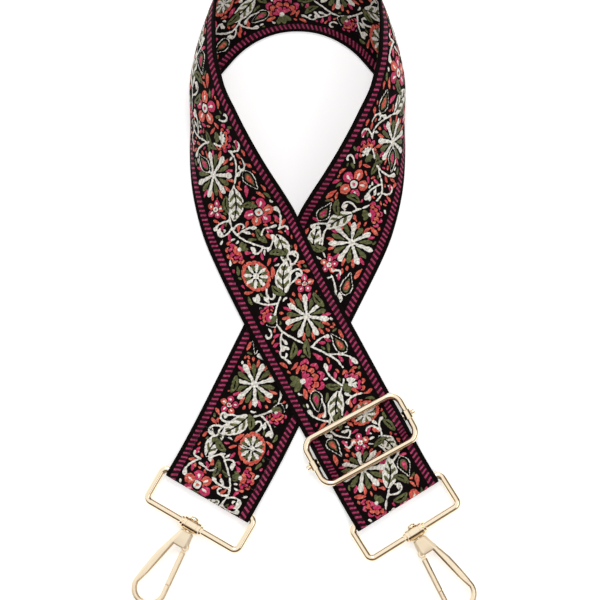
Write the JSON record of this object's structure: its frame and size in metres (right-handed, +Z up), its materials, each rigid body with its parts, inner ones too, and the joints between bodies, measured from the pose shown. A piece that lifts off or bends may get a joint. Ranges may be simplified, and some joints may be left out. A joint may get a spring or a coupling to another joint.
{
  "type": "detachable bag strap",
  "caption": "Wide woven bag strap laid in a loop, both ends folded round rectangular wire rings with swivelling snap hooks, and a sliding length adjuster on one tail.",
  "frame": {"origin": "on the table, under the point where the two tails cross, on the underside of the lower tail", "axes": "+Z up from the table, +Y towards the top of the loop, +X to the right, towards the tail with the adjuster"},
  "size_m": [0.181, 0.3369, 0.0404],
  "materials": {
    "webbing": "jacquard weave, black ground with coloured folk flowers",
    "thread": "matt sewing thread",
    "plated_metal": "polished, pale gold plating",
    "spring_steel": "bright"
  },
  "bodies": {
    "strap": {"strap_webbing": "webbing", "adjuster_webbing": "webbing", "sewn_end_seam": "thread"},
    "slider": {"slider_frame": "plated_metal"},
    "centre_bar": {"slider_centre_bar": "plated_metal"},
    "left_ring": {"left_ring": "plated_metal"},
    "right_ring": {"right_ring": "plated_metal"},
    "left_hook": {"left_hook_body": "plated_metal", "left_swivel_rivet": "plated_metal", "left_gate_pin": "plated_metal", "left_gate_spring": "spring_steel"},
    "right_hook": {"right_hook_body": "plated_metal", "right_swivel_rivet": "plated_metal", "right_gate_pin": "plated_metal", "right_gate_spring": "spring_steel"},
    "left_gate": {"left_gate": "plated_metal"},
    "right_gate": {"right_gate": "plated_metal"}
  },
  "joints": [
    {"name": "slider_slide", "type": "slide", "parent": "strap", "child": "slider", "axis": [-0.4787, 0.878, 0], "range_m": [0, 0.02], "deforming": ["adjuster_webbing"]},
    {"name": "centre_bar_slide", "type": "slide", "parent": "slider", "child": "centre_bar", "axis": [-0.4787, 0.878, 0], "range_m": [-0.004, 0.004], "deforming": ["adjuster_webbing"]},
    {"name": "left_ring_hinge", "type": "hinge", "parent": "strap", "child": "left_ring", "pos_m": [-0.04603, -0.08909, 0.0035], "axis": [-0.8643, 0.503, 0], "range_deg": [-150, 150]},
    {"name": "right_ring_hinge", "type": "hinge", "parent": "strap", "child": "right_ring", "pos_m": [0.05136, -0.09306, 0.0035], "axis": [-0.848, -0.5299, 0], "range_deg": [-150, 150]},
    {"name": "left_hook_swivel", "type": "hinge", "parent": "left_ring", "child": "left_hook", "pos_m": [-0.05584, -0.10595, 0.0035], "axis": [-0.503, -0.8643, 0], "continuous": true},
    {"name": "right_hook_swivel", "type": "hinge", "parent": "right_ring", "child": "right_hook", "pos_m": [0.06169, -0.1096, 0.0035], "axis": [0.5299, -0.848, 0], "continuous": true},
    {"name": "left_gate_hinge", "type": "hinge", "parent": "left_hook", "child": "left_gate", "pos_m": [-0.05889, -0.11736, 0.0035], "axis": [0, 0, -1], "range_deg": [0, 22], "stiffness_Nm_per_rad": 0.02, "springref_deg": -17.19, "deforming": ["left_gate_spring"]},
    {"name": "right_gate_hinge", "type": "hinge", "parent": "right_hook", "child": "right_gate", "pos_m": [0.0651, -0.12091, 0.0035], "axis": [0, 0, 1], "range_deg": [0, 22], "stiffness_Nm_per_rad": 0.02, "springref_deg": -17.19, "deforming": ["right_gate_spring"]}
  ]
}
